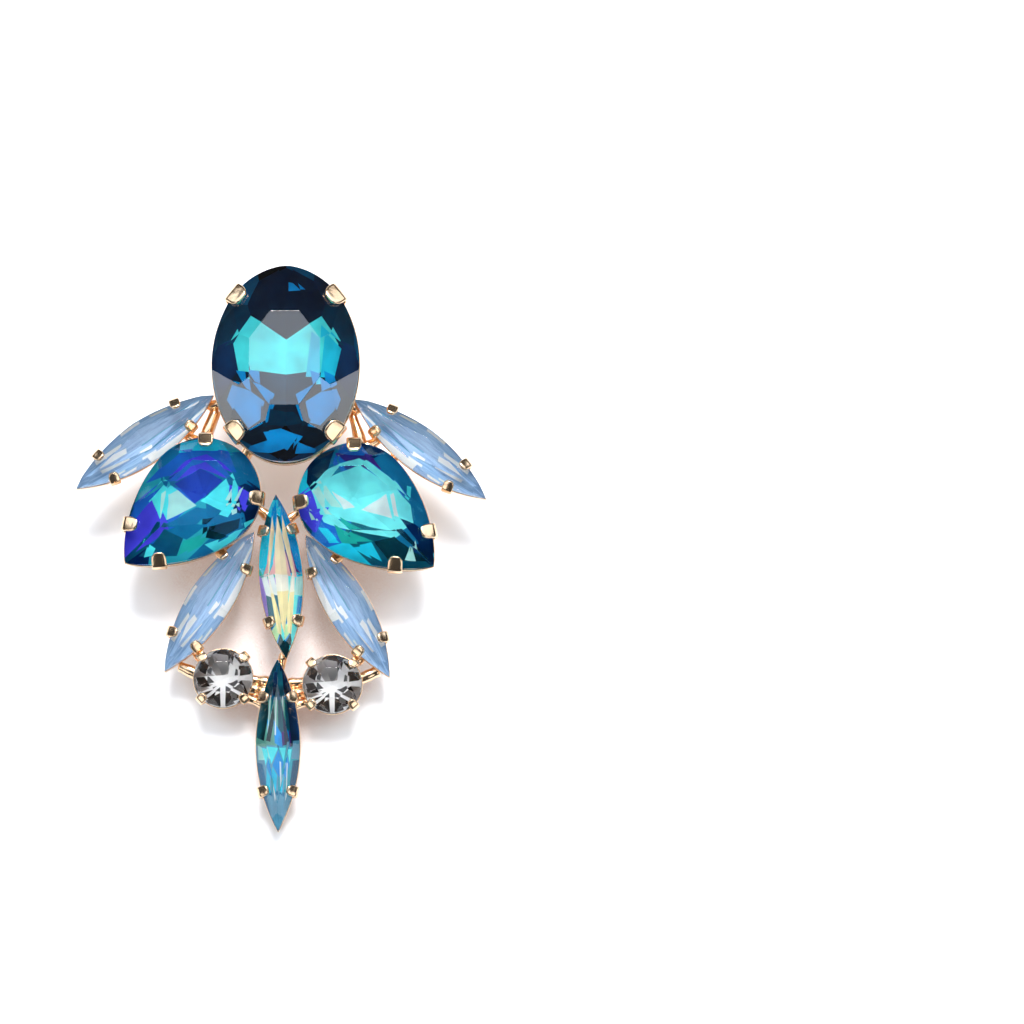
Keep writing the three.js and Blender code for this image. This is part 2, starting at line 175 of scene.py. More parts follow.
# Heights are from the top edge of the girdle. girdle is how deep the settings take it to be, edge is how
# far the crown's edges are worn, and back_inset is how far a setting's back lies in from the outline.
# A facet row cuts one plane at each of its azimuths. axis is the height at which the plane crosses
# the stone's own axis and rim its height over the outline.
CUTS = {
    "oval": dict(
        outline="oval", points=96, length=OVAL_LENGTH, width=OVAL_WIDTH,
        table=2.4, girdle=0.85, culet=-4.05, edge=0.05,
        crown=[
            dict(azimuths=ring_of(8, 0, OVAL_ASPECT), axis=4.6, rim=0.0),
            dict(azimuths=ring_of(8, 22.5, OVAL_ASPECT), axis=6.0, rim=-0.33),
        ],
        claws=dict(azimuths=[54, 126, 234, 306], width=2.0, reach=1.0),
        back_inset=1.6,
    ),
    "pear": dict(
        outline="pear", points=84, length=14.5, width=10.2,
        table=1.6, girdle=0.6, culet=-3.0, edge=0.04,
        crown=[
            dict(azimuths=PEAR_MAIN, axis=3.3, rim=0.0),
            dict(azimuths=PEAR_STAR, axis=4.6, rim=-0.25),
        ],
        claws=dict(azimuths=[71, 107, 317, 221], width=1.35, reach=0.95),
        back_inset=1.1,
    ),
    "marquise": dict(
        outline="marquise", points=56, length=15, width=3.9,
        table=0.95, girdle=0.4, culet=-1.6, edge=0.03,
        crown=[
            dict(azimuths=[11, 169, 191, 349], axis=1.85, rim=-0.05),
            dict(azimuths=[60, 120, 240, 300], axis=4.6, rim=-0.1),
        ],
        claws=dict(azimuths=[72, 108, 252, 288], width=1.0, reach=0.55),
        back_inset=0.5,
    ),
    "round": dict(
        outline="oval", points=64, length=5.3, width=5.3,
        table=0.85, girdle=0.3, culet=-1.9, edge=0.02,
        crown=[
            dict(azimuths=ring_of(8, 0), axis=1.75, rim=0.0),
            dict(azimuths=ring_of(8, 22.5), axis=2.7, rim=-0.14),
        ],
        claws=dict(azimuths=[45, 135, 225, 315], width=0.85, reach=0.4),
        back_inset=0.5,
    ),
}
CUTS["long"] = dict(CUTS["marquise"], length=15.6)


def pear_back(main, star, girdle):
    """The facet rows of a pear's foiled back."""
    return [
        dict(azimuths=PEAR_MAIN, axis=-3.1, rim=-0.75, foils=main),
        dict(azimuths=PEAR_STAR, axis=-3.6, rim=-0.65, foils=star),
        dict(azimuths=PEAR_GIRDLE, axis=-6.2, rim=-0.6, foils=girdle),
    ]


def marquise_back(main, end):
    """The facet rows of a marquise's foiled back."""
    return [
        dict(azimuths=[8, 172, 188, 352], axis=-1.65, rim=-0.5, foils=main),
        dict(azimuths=[24, 156, 204, 336], axis=-2.3, rim=-0.45, foils=end),
    ]


# The foiled backs. Facets are given as in the crown rows; foils repeat round each row. Each facet's
# foil is painted light or dark, a painted reflection or painted shade, over the stone's own colour.
BACKS = {
    "oval": [
        dict(azimuths=[0, 180], axis=-3.95, rim=-1.556, foils=["turquoise"]),
        dict(azimuths=[95.3, 84.7], axis=-5.19, rim=-0.79, foils=["slate"]),
        dict(azimuths=[162.5, 17.5], axis=-5.45, rim=-0.8, foils=["deep"]),
        dict(azimuths=[185.3, -5.3], axis=-4.67, rim=-0.8, foils=["navy"]),
        dict(azimuths=[212, -32], axis=-4.115, rim=-0.8, foils=["slate"]),
        dict(azimuths=[270], axis=-5.3, rim=-0.8, foils=["ink"]),
        dict(azimuths=ring_of(16, 11.25, OVAL_ASPECT), axis=-7.5, rim=-0.6,
             foils=["tide", "deep", "navy", "tide", "ink"]),
    ],
    "blue_pear": pear_back(
        main=["ocean", "navy", "cobalt", "ocean", "ocean", "lagoon", "cobalt"],
        star=["ocean", "lagoon", "navy", "teal"],
        girdle=["aqua", "navy", "lagoon", "indigo", "teal", "cobalt", "deep"],
    ),
    "aqua_pear": pear_back(
        main=["ocean", "cobalt", "violet", "ocean", "cobalt", "ocean", "teal"],
        star=["ocean", "aqua", "navy", "teal"],
        girdle=["lagoon", "indigo", "aqua", "ocean", "deep", "turquoise", "teal"],
    ),
    "opal": marquise_back(main=["opal"], end=["opal"]),
    "aurora": marquise_back(main=["aqua", "jade", "lilac", "turquoise"], end=["azure", "teal"]),
    "teal": marquise_back(main=["teal", "moss", "steel", "lagoon"],
                          end=["ocean", "teal", "ocean", "steel"]),
    "silver": [
        dict(azimuths=ring_of(8, 0), axis=-1.9, rim=-0.4,
             foils=["silver", "silver", "soot", "silver", "pewter"]),
        dict(azimuths=ring_of(8, 22.5), axis=-2.7, rim=-0.36, foils=["silver", "soot", "silver"]),
    ],
}


def patch(foil, *corners):
    """A further facet of a back, flush with those it lies on, with a foil of its own: painted reflection
    or shade.
    """
    return dict(foil=foil, corners=corners)


# Corners are in the stone's own plan, and a later patch lies over an earlier one. The patches paint
# the light and dark reflections seen in each stone, mixed with its own colours.
INLAYS = {
    "oval": [
        patch("aqua", (2.3, 3.2), (4.2, 1.6), (3.4, -1.1), (1.8, -1)),
        patch("azure", (-3.5, -0.4), (-2.4, -0.5), (-2.3, -1.7), (-2.8, -1.5)),
        patch("azure", (2.2, -0.4), (3.4, -0.9), (3.6, -1.4), (2.5, -1.8)),
        patch("azure", (-4.7, -3), (-3.8, -1.4), (-2.4, -1.7), (-1, -2.6), (-1.6, -4.5), (-2.9, -5.5)),
        patch("azure", (0.9, -2.6), (2.4, -1.8), (3.6, -1.8), (4.3, -2.9), (4, -3.9), (2.7, -5.2),
              (1.6, -4.8)),
        patch("azure", (-3.4, -7.9), (-3, -7.2), (-1.2, -6.2), (0.1, -7.2), (-1, -7.7)),
        patch("azure", (-1.6, -5.4), (-0.4, -5), (1.2, -5.8), (0.2, -7.5), (-1.2, -6.4)),
        patch("azure", (0.8, -6.4), (2.7, -7.5), (2.6, -7.9), (0.7, -7.8)),
        patch("azure", (0.2, 7.2), (0.6, 7.1), (1.3, 6.3), (0.2, 6.2)),
        patch("deep", (-1.4, -3.1), (0.7, -3.3), (1.7, -4.6), (-1.6, -4.8)),
    ],
    "blue_pear": [
        patch("aqua", (3.9, -0.7), (4.8, -1.4), (2.7, -4.2), (1.3, -3.6)),
        patch("cobalt", (4, 3.2), (3.8, -0.8), (1.3, -3.6), (-0.5, -2.8), (1.8, -1.3), (2.6, 1.2)),
        patch("violet", (2.6, 1.4), (2.7, -0.7), (2.2, -2), (-0.3, -2.5), (2, -1.2)),
        patch("indigo", (2.5, 1.5), (2, -1.2), (-0.1, -2.1), (-0.1, 0.5), (-0.1, 1.2)),
        patch("violet", (-0.4, -2), (-2.4, -2.8), (-3, -1.4), (-2.4, -1.3)),
        patch("turquoise", (2.5, 3.9), (2.6, 1.8), (1.9, 1.7), (-0.3, 1.2), (0.5, 4.1)),
        patch("mint", (0.5, 4.1), (2.1, 2.5), (1.9, 1.7), (-0.3, 1.2)),
        patch("turquoise", (-0.2, 0.7), (-0.2, -2.4), (-1, -2.1), (-2, -1), (-2.2, -0.2)),
        patch("mint", (-1.3, -2), (-1.4, -2.6), (-1.9, -1.2), (-1.6, -1)),
        patch("mint", (-2.2, -1.3), (-2.6, -1), (-2.4, -0.6), (-1.9, -0.8)),
        patch("violet", (0.3, 9.4), (2, 7.8), (2.4, 3.6), (0.2, 4.2)),
        patch("ocean", (0.2, 4.2), (-0.4, 1.3), (-3.2, -0.8), (-1.6, 1.7), (-1.7, 3.7), (0.5, 4.5)),
        patch("teal", (-0.2, 8), (0, 6.3), (0.5, 4.5), (-1.4, 3.8), (-2.4, 5.5)),
        patch("jade", (-1.6, 4), (-2.2, 1.9), (-2.8, 3.3), (-2.4, 5.5)),
        patch("turquoise", (-0.6, 7.7), (0.2, 6.5), (-0.5, 6.4), (-0.9, 7.1)),
        patch("pine", (-1.6, 1.7), (-3.3, -0.9), (-4.1, -0.2), (-3.5, 1.7), (-2.2, 2.3)),
        patch("turquoise", (-4.8, -2.1), (-4.5, -0.5), (-3.9, -0.7)),
        patch("turquoise", (-4.5, -0.5), (-4.1, 0.2), (-3.7, 2), (-4.4, 2.8), (-4.9, 1.1)),
        patch("turquoise", (-2.9, 2.9), (-3.4, 1.6), (-4.4, 2.8)),
    ],
    "aqua_pear": [
        patch("navy", (1.5, -3.7), (-0.3, -5.5), (-2.1, -3.9), (-0.3, -2.7), (1.5, -2.9)),
        patch("plum", (-1.8, -3.5), (-3.4, -1.2), (-3, 0.1), (-1.5, -2.4)),
        patch("cobalt", (-2.7, -1.5), (-2.9, -0.2), (-2.9, 2.9), (-2.4, 3.8), (-2.4, 2.1)),
        patch("pool", (1.5, -3), (-0.3, -2.9), (-2.7, -1.6), (-2.9, 1), (-2.6, 4), (-1.5, 5.3),
              (-0.1, 4.8), (2.7, -0.6)),
        patch("frost", (0.2, 1.1), (-2.2, 1.9), (-0.9, 3.8)),
        patch("frost", (0.7, -2), (0.4, 0.5), (1.3, -0.1)),
        patch("mint", (1.5, -2.9), (0.7, -2.7), (1.3, -0.3), (1.9, -1)),
        patch("jade", (2.1, 0.1), (1.9, 1.4), (1.3, 3.6), (3.1, 1.6)),
        patch("teal", (1.8, 1.5), (0, 4.5), (1.1, 3.5)),
        patch("aqua", (1.5, 3.5), (2.5, 5.6), (2.9, 2.6)),
        patch("pine", (1.3, 3.6), (-0.3, 4.7), (-0.1, 8.6), (2, 5.8)),
        patch("mint", (-0.4, 6.4), (0, 7), (0.5, 7.8), (1, 7)),
        patch("navy", (-0.9, 4), (-1.5, 5.4), (-1.9, 7.6), (-1.1, 8.6), (-0.2, 8.7)),
        patch("violet", (4.2, -3.5), (2.1, -1.1), (4.3, -0.5)),
        patch("mint", (3, -2.1), (2.9, -1.6), (3, -1.1), (3.5, -1.4)),
        patch("aqua", (3.7, -0.7), (3, 0), (3.3, 1.5), (4.1, 0.9)),
        patch("turquoise", (-3.6, 2.7), (-3.9, 3.1), (-2.8, 3.6), (-2.8, 3.1)),
    ],
    "opal": [
        # The milk and cream patches on the opals are painted highlights.
        patch("milk", (0.75, -0.5), (1.8, -0.5), (1.7, 1.8), (1.1, 4.4), (0.8, 3.6)),
        patch("milk", (0.4, -0.9), (0.75, -1), (0.75, 0.3), (0.45, 0.4)),
        patch("milk", (-1.75, -1.4), (-1.35, -1.4), (-1.3, 0.5), (-1.65, 0.6)),
        patch("milk", (-0.9, -4.7), (-0.3, -4.7), (-0.15, -1.9), (-0.55, -1.7)),
        patch("cream", (0.5, -4.4), (0.7, -4.3), (0.8, -2.9), (0.6, -2.8)),
        patch("milk", (1, -3.4), (1.3, -3.2), (1.35, -2), (1.05, -1.8)),
        patch("cream", (-1.6, 1.6), (-1.3, 1.7), (-1, 3.4), (-1.3, 3.3)),
        patch("milk", (0.12, 4.6), (0.5, 4.5), (0.35, 6.3), (0.1, 6.5)),
        patch("steel", (-0.06, -0.4), (0.06, -0.4), (0.1, 4.9), (0, 5.1)),
    ],
    "aurora": [
        patch("aqua", (-0.7, 5.7), (-0.3, 7), (0.1, 6.8), (-0.2, 5.4)),
        patch("azure", (0.1, 6.9), (0.9, 5.9), (1.5, 4.1), (-0.2, 4.2), (-0.2, 5.3)),
        patch("aqua", (-1.3, 3.8), (-0.3, 4.3), (0, 2.4), (-0.5, 1.5), (-1.2, 0.2), (-1.9, 1.1)),
        patch("azure", (-0.3, 4.1), (1.4, 3.4), (1.7, 0.2), (0.5, 0.5), (-0.1, 2.9)),
        patch("rose", (-0.5, 1.5), (-0.7, 0.3), (-1.1, 0.2)),
        patch("plum", (0.5, 2.7), (0.5, 0.4), (1.5, 0.1), (1, 0.6)),
        patch("mint", (0.9, 0), (1.7, 0), (1.7, -1.8), (0.5, -1.6)),
        patch("turquoise", (0.5, -1.6), (1.1, -1.7), (0.8, -3.4), (0.3, -4)),
        patch("azure", (1.1, -1.8), (1.7, -1.9), (1.4, -3.4), (0.8, -3.4)),
        patch("lilac", (-1.8, 0.2), (-1.4, 0.1), (-1.1, -3.2), (-1.8, -3.2)),
        patch("frost", (-1.4, 0.1), (-0.7, 0.3), (-0.3, -1.7), (-1.1, -1.5)),
        patch("teal", (-1.1, -1.5), (-0.3, -1.7), (-0.1, -3.8), (-1.1, -4.9)),
        patch("lime", (-1.2, -5.1), (-0.1, -4), (0.1, -4.9), (-0.7, -6.2)),
        patch("turquoise", (0.1, -4), (1.3, -5), (0.2, -7.5), (0.1, -5.1)),
        patch("pine", (0.1, -5.1), (0.3, -5.8), (0.1, -7.5), (-0.8, -7.3), (-0.5, -6.2)),
        patch("rose", (0, 4.4), (-0.6, 1.6), (-0.75, 0.3), (0.9, 0), (0.65, 1.6)),
        patch("peach", (0, 5.6), (-0.4, 2.8), (-0.5, 0.3), (0.6, 0), (0.45, 2.8)),
        patch("cream", (-0.55, 0.35), (0.65, 0.15), (0.6, -1.4), (-0.45, -1.4)),
        patch("amber", (-0.45, -1.3), (0.6, -1.3), (0.2, -5.2), (-0.2, -5)),
    ],
    "teal": [
        patch("teal", (0, 8), (0, 5.3), (-0.2, 4.1), (-1.5, 3.9), (-0.7, 5.8)),
        patch("navy", (0.1, 8), (0.7, 7.8), (1.8, 4.6), (0.1, 4.4), (0, 5.2)),
        patch("pine", (-1.6, 4), (-0.4, 3.9), (-0.3, 2.4), (-0.7, 0.3), (-1.8, 0.7)),
        patch("moss", (0, 5.3), (-0.3, 2.7), (-0.7, 0.3), (-0.3, -0.1), (-0.4, 1.6), (-0.2, 3.7)),
        patch("azure", (-0.4, 2.3), (0.4, 0.9), (0.4, -0.2), (-0.3, 0.2)),
        patch("plum", (0.3, 1.2), (0.6, 1.3), (0.6, 0.1), (0.4, -0.1)),
        patch("navy", (0.3, 3.9), (1.8, 3.8), (2, 0.5), (0.6, 0)),
        patch("turquoise", (-1, -0.1), (0, -0.2), (-0.6, -1.7)),
        patch("turquoise", (0.1, -0.2), (0.7, -0.2), (0.5, -1.5)),
        patch("mint", (-1.5, 0.1), (-1, -0.1), (-0.7, -1.2), (-1.5, -1.3)),
        patch("azure", (0, -0.4), (0.5, -1.6), (0.1, -2.9), (-0.5, -1.8)),
        patch("steel", (0.8, 0.3), (2, 0.4), (1.9, -1.3), (0.7, -1.1)),
        patch("steel", (-0.9, -4), (0.1, -4.6), (1.1, -4.7), (0.2, -7.5), (-0.1, -7.5)),
        patch("ocean", (-1.9, -1.5), (-1, -1.6), (-0.5, -4.1), (-0.9, -5.2)),
        patch("tide", (0.9, -1.3), (1.9, -1.3), (1.2, -4.8), (0.6, -4.3)),
        patch("aqua", (-0.5, -1.9), (-0.1, -2.7), (-0.2, -4.3), (-0.7, -3.7)),
        # The two frost slivers are painted highlights along the facet edges.
        patch("frost", (0.12, -1.4), (0.26, -1.5), (0.34, -4.6), (0.22, -5)),
        patch("frost", (-0.32, 1), (-0.2, 0.9), (-0.1, 4.4), (-0.22, 4.3)),
    ],
    # The clear round stones' silver, pewter and soot pattern is painted reflection and painted shade.
    "silver": [
        patch("pewter", (-1.3, 1.7), (-0.5, 2), (0.4, 1.8), (0.5, 0.9), (0.4, 0.4), (-0.6, 0.2),
              (-1, 0.8)),
        patch("silver", (-2.4, 0.1), (2.4, 0.7), (2.4, -0.1), (-1.9, -0.7)),
        patch("soot", (-0.3, -0.5), (-0.2, -2.4), (-1.3, -2.1), (-1.9, -1.2)),
        patch("pewter", (-0.9, -0.5), (-1.9, -1.1), (-2.3, -0.6), (-1.8, -0.3)),
        patch("soot", (0.2, -0.6), (1.3, -1.9), (0.2, -2.4)),
        patch("pewter", (1.2, -0.1), (2.4, -0.2), (2.2, -1.2), (1.6, -1.5)),
        patch("soot", (0.6, -0.4), (1.2, -0.1), (2.1, -1.3), (1.7, -1.7)),
        patch("soot", (0.7, 1.9), (2, 1.5), (1.3, 1.1)),
        patch("soot", (1.1, 0.9), (2.2, 1.1), (2.4, 0.4), (1, 0.3)),
        patch("soot", (-1.7, 1.6), (-1, 0.9), (-1.1, 0.4), (-2.1, 0.8)),
        patch("silver", (-0.2, -0.3), (-0.05, -0.5), (-1.9, -2.2), (-2.1, -2)),
        patch("silver", (0.1, -0.5), (0.25, -0.3), (2.3, -1.6), (2.1, -1.9)),
        patch("silver", (0.8, -1.7), (1.4, -1.6), (1.1, -2.3)),
        patch("soot", (-2.3, 0.1), (-1.3, 0.2), (-0.8, -0.3), (-1.9, -0.6)),
    ],
}

# Where each stone sits, as in the CAD: its own origin, the turn of its +Y anticlockwise in degrees,
# and the height of its girdle's top edge over the flat back. back names its foiled back and its
# patches, which flip=-1 mirrors.
STONES = [
    dict(name="oval_stone", cut="oval", x=0.35, y=11.5, turn=0, girdle=4.5,
         back="oval", glass="oval_glass"),
    dict(name="pear_stone_left", cut="pear", x=-6.9, y=-0.2, turn=132, girdle=3.6,
         back="blue_pear", glass="blue_pear_glass"),
    dict(name="pear_stone_right", cut="pear", x=6.55, y=-0.65, turn=-131, girdle=3.6,
         back="aqua_pear", glass="aqua_pear_glass"),
    dict(name="wing_stone_left", cut="marquise", x=-12.4, y=4.75, turn=-55, girdle=2.2,
         back="opal", glass="opal_glass"),
    dict(name="wing_stone_right", cut="marquise", x=12.5, y=4.1, turn=52.5, girdle=2.2,
         back="opal", glass="opal_glass", flip=-1),
    dict(name="leaf_stone_left", cut="marquise", x=-6.4, y=-9.9, turn=-32, girdle=2.2,
         back="opal", glass="opal_glass"),
    dict(name="leaf_stone_right", cut="marquise", x=6.0, y=-10.3, turn=30.5, girdle=2.2,
         back="opal", glass="opal_glass", flip=-1),
    dict(name="centre_stone", cut="marquise", x=0, y=-7.6, turn=4, girdle=2.2,
         back="aurora", glass="aurora_glass"),
    dict(name="drop_stone", cut="long", x=-0.15, y=-22.94, turn=0.5, girdle=2.2,
         back="teal", glass="teal_glass"),
    dict(name="round_stone_left", cut="round", x=-5.1, y=-16.95, turn=0, girdle=2.5,
         back="silver", glass="clear_glass"),
    dict(name="round_stone_right", cut="round", x=4.7, y=-17.5, turn=0, girdle=2.5,
         back="silver", glass="clear_glass"),
]
OVAL = STONES[0]


def bar(start, end, height=0.9, radius=0.5):
    """A bar of solder between two points of the flat frame, at a height over the flat backs."""
    return dict(start=start, end=end, height=height, radius=radius)


SOLDER = [
    bar((-2.2, 5.6), (-4.2, 2.2), height=1.1, radius=0.6),
    bar((2.8, 5.6), (4.3, 2.2), height=1.1, radius=0.6),
    bar((-3.6, 9.2), (-8.2, 7.7), radius=0.55),
    bar((4.2, 9), (8.4, 7.3), radius=0.55),
    bar((-8.3, 2), (-11.4, 5.2)),
    bar((8.3, 2), (11.5, 4.6)),
    bar((-5.2, -1.6), (-4.6, -6.4)),
    bar((5.2, -1.6), (4.2, -6.8)),
    bar((-4, 0.4), (-0.4, -2.6)),
    bar((4, 0.4), (0, -2.6)),
    bar((-8.6, -13.4), (-5.6, -16.4)),
    bar((8.1, -13.8), (5.2, -17)),
    bar((-4.6, -17), (-0.3, -18.4), height=0.85, radius=0.65),
    bar((4.2, -17.6), (0.1, -18.4), height=0.85, radius=0.65),
    bar((-4.6, -16.5), (-0.5, -17.2), height=0.85, radius=0.55),
    bar((-4.6, -17.9), (-0.6, -19.4), height=0.8),
    bar((4.2, -17), (0.3, -17.2), height=0.85, radius=0.55),
    bar((4.2, -18.4), (0.4, -19.4), height=0.8),
    bar((0.4, -12.6), (-0.1, -17.4), height=0.7, radius=0.35),
    bar((-7.3, 4.6), (-6, 8), height=1),
    bar((-6.6, 4.4), (-9.4, 5.9)),
    bar((7.3, 4.3), (6.3, 7.6), height=1),
    bar((6.8, 4.1), (9.4, 5.5)),
    bar((-9.2, -15.6), (-6.8, -16.7), height=1, radius=0.6),
    bar((8.9, -16), (6.4, -17.2), height=1, radius=0.6),
]


# -------- where the flat frame lies
def flat_frame():
    """The flat frame's place in the world, read off the oval stone's table in the CAD."""
    mesh = bpy.data.objects["oval_stone"].data
    level = [p for p in mesh.polygons if p.normal.z > 0.9]
    up = max(level, key=lambda p: p.area).normal.copy()
    table = [p for p in mesh.polygons if p.normal.dot(up) > 0.99999]
    area = sum(p.area for p in table)
    middle = sum((p.center * p.area for p in table), Vector()) / area
    tilt = math.atan2(-up.y, up.z)
    turned = Matrix.Rotation(tilt, 4, "X") @ Matrix.Scale(MM, 4)
    own = Vector((OVAL["x"], OVAL["y"], OVAL["girdle"] + CUTS[OVAL["cut"]]["table"]))
    return Matrix.Translation(middle - turned @ own) @ turned


FLAT = flat_frame()


def place_of(stone):
    """A stone's own frame in the flat one, with its origin at the top edge of its girdle."""
    turn = Matrix.Rotation(math.radians(stone["turn"]), 4, "Z")
    return Matrix.Translation((stone["x"], stone["y"], stone["girdle"])) @ turn


# -------- outlines
def bezier(a, b, c, d, steps):
    """steps points of a cubic curve, without its first."""
    out = []
    for i in range(1, steps + 1):
        t = i / steps
        s = 1 - t
        shares = (s**3, 3 * s * s * t, 3 * s * t * t, t**3)
        out.append(tuple(sum(share * p for share, p in zip(shares, axis)) for axis in zip(a, b, c, d)))
    return out


def oval_outline(half_length, half_width, points):
    turns = [2 * math.pi * i / points for i in range(points)]
    return [(half_width * math.cos(t), half_length * math.sin(t)) for t in turns]


def marquise_outline(half_length, half_width, points):
    """Two equal arcs that meet in points."""
    radius = (half_length**2 + half_width**2) / (2 * half_width)
    swing = math.asin(half_length / radius)
    half = points // 2
    turns = [-swing + 2 * swing * i / half for i in range(half)]
    side = [(half_width - radius + radius * math.cos(t), radius * math.sin(t)) for t in turns]
    return side + [(-x, -y) for x, y in side]


def pear_outline(length, half_width, points, grow):
    """Half an ellipse at the rear, and a curve from it to the point on each side."""
    rear = length * PEAR["rear"] + grow
    point = length * (1 - PEAR["rear"]) + grow * PEAR["tip_growth"]
    lean = math.radians(PEAR["lean"])
    near = (point * PEAR["pull"] * math.sin(lean), point * (1 - PEAR["pull"] * math.cos(lean)))
    third = points // 3
    turns = [math.pi + math.pi * i / third for i in range(third + 1)]
    rounded = [(half_width * math.cos(t), rear * math.sin(t)) for t in turns]
    side = bezier((half_width, 0), (half_width, point * PEAR["shoulder"]), near, (0, point), third)
    return rounded + side + [(-x, y) for x, y in reversed(side[:-1])]


def outline(cut, grow=0.0):
    """A stone's outline, anticlockwise, grown outwards by grow."""
    half_length = cut["length"] / 2 + grow
    half_width = cut["width"] / 2 + grow
    if cut["outline"] == "oval":
        return oval_outline(half_length, half_width, cut["points"])
    if cut["outline"] == "marquise":
        return marquise_outline(half_length, half_width, cut["points"])
    return pear_outline(cut["length"], half_width, cut["points"], grow)


def heading(azimuth):
    """The x and y of a unit vector at an azimuth in degrees."""
    angle = math.radians(azimuth)
    return math.cos(angle), math.sin(angle)


def station_on(points, azimuth):
    """The point of an outline at an azimuth from its origin, with the outward normal there."""
    ray = Vector(heading(azimuth))
    for a, b in zip(points, points[1:] + points[:1]):
        a = Vector(a)
        side = Vector(b) - a
        turn = ray.cross(side)
        if turn <= 0:
            continue
        along, reach = a.cross(ray) / turn, a.cross(side) / turn
        if reach > 0 and -1e-6 <= along <= 1:
            return ray * reach, Vector((side.y, -side.x)).normalized()
    raise ValueError(f"no point of the outline at azimuth {azimuth}")


# -------- meshes
def linked(name, bm, materials):
    """A bmesh as an object in the scene."""
    mesh = bpy.data.meshes.new(name)
    bm.to_mesh(mesh)
    bm.free()
    for material in materials:
        mesh.materials.append(material)
    obj = bpy.data.objects.new(name, mesh)
    bpy.context.scene.collection.objects.link(obj)
    return obj


def object_of(name, bm, place, materials):
    """A bmesh, in millimetres of the frame that place holds, as an object in the world."""
    plan = bm.loops.layers.uv.new("plan")
    for face in bm.faces:
        for loop in face.loops:
            loop[plan].uv = (loop.vert.co.x * PLAN_UV, loop.vert.co.y * PLAN_UV)
    bmesh.ops.transform(bm, matrix=FLAT @ place, verts=bm.verts)
    return linked(name, bm, materials)


def loft(bm, rings):
    """Faces through rings of points (x, y, z), capped at the first and the last."""
    lifted = [[bm.verts.new(p) for p in ring] for ring in rings]
    count = len(lifted[0])
    for low, high in zip(lifted, lifted[1:]):
        for i in range(count):
            j = (i + 1) % count
            bm.faces.new((low[i], low[j], high[j], high[i]))
    bm.faces.new(lifted[0][::-1])
    bm.faces.new(lifted[-1])


def smoothed(points, rounds=3):
    """A polyline with its corners cut rounds times, its ends kept."""
    for _ in range(rounds):
        cut = [points[0]]
        for a, b in zip(points, points[1:]):
            cut += [a.lerp(b, 0.25), a.lerp(b, 0.75)]
        points = cut + [points[-1]]
    return points


def smooth_metal(bm):
    bmesh.ops.recalc_face_normals(bm, faces=bm.faces)
    for face in bm.faces:
        face.smooth = True


# -------- stones
def facet_plane(cut, azimuth, axis, rim):
    """The unit normal, always upwards, and a point of the facet's plane."""
    ux, uy = heading(azimuth)
    support = max(x * ux + y * uy for x, y in outline(cut))
    slope = (rim - axis) / support
    return Vector((-slope * ux, -slope * uy, 1)).normalized(), Vector((0, 0, axis))


def crown_planes(cut):
    """The planes of the table and of every crown facet."""
    flat = [(Vector((0, 0, 1)), Vector((0, 0, cut["table"])))]
    rows = [(a, row["axis"], row["rim"]) for row in cut["crown"] for a in row["azimuths"]]
    return flat + [facet_plane(cut, *row) for row in rows]


def crown_height(planes, x, y):
    """How high the crown stands over a point, from the top edge of the girdle."""
    return min(co.z - (no.x * (x - co.x) + no.y * (y - co.y)) / no.z for no, co in planes)


def tint_faces(faces, layer, tint):
    for face in faces:
        for loop in face.loops:
            loop[layer] = tint


def slice_off(bm, co, no, slot, tint, layer):
    """Cuts away what lies past a plane, and closes the cut with one facet."""
    geometry = bm.verts[:] + bm.edges[:] + bm.faces[:]
    cut = bmesh.ops.bisect_plane(bm, geom=geometry, dist=CUT_SNAP, plane_co=co, plane_no=no,
                                 clear_outer=True)
    rim = [g for g in cut["geom_cut"] if isinstance(g, bmesh.types.BMEdge) and g.is_boundary]
    if len(rim) < 3:
        return
    filled = bmesh.ops.edgeloop_fill(bm, edges=rim)["faces"]
    for face in filled:
        face.material_index = slot
        face.smooth = False
    tint_faces(filled, layer, tint)


def inside(corners, x, y):
    """Whether a point lies inside a polygon."""
    hit = False
    for (ax, ay), (bx, by) in zip(corners, corners[1:] + corners[:1]):
        if (ay > y) != (by > y) and x < ax + (y - ay) * (bx - ax) / (by - ay):
            hit = not hit
    return hit


def reaches(face, corners):
    """Whether a facet's plan may overlap a polygon: it has a corner inside, or their boxes overlap."""
    plan = [v.co for v in face.verts]
    if any(inside(corners, p.x, p.y) for p in plan):
        return True
    lows = [min(c[i] for c in corners) for i in (0, 1)]
    highs = [max(c[i] for c in corners) for i in (0, 1)]
    return all(min(p[i] for p in plan) < highs[i] and max(p[i] for p in plan) > lows[i] for i in (0, 1))


def lay_in(bm, foil, corners, layer):
    """Splits the foiled facets along the sides of a polygon and gives those within it their own foil."""
    for (ax, ay), (bx, by) in zip(corners, corners[1:] + corners[:1]):
        faces = [f for f in bm.faces if f.material_index == FOILED and reaches(f, corners)]
        edges = {e for f in faces for e in f.edges}
        verts = {v for f in faces for v in f.verts}
        across = Vector((by - ay, ax - bx, 0)).normalized()
        bmesh.ops.bisect_plane(bm, geom=[*verts, *edges, *faces], dist=PATCH_SNAP, plane_co=(ax, ay, 0),
                               plane_no=across)
    foiled = [f for f in bm.faces if f.material_index == FOILED]
    within = [f for f in foiled if inside(corners, *f.calc_center_median().xy)]
    tint_faces(within, layer, FOIL_AND_PAINTED_LIGHT[foil])


def blank(bm, cut, layer):
    """The uncut stone: an upright prism of its outline, longer than the stone both ways."""
    edge = outline(cut)
    loft(bm, [[(x, y, cut["culet"] - 1) for x, y in edge], [(x, y, cut["table"] + 1) for x, y in edge]])
    for face in bm.faces:
        face.smooth = True
    tint_faces(bm.faces, layer, BARE)


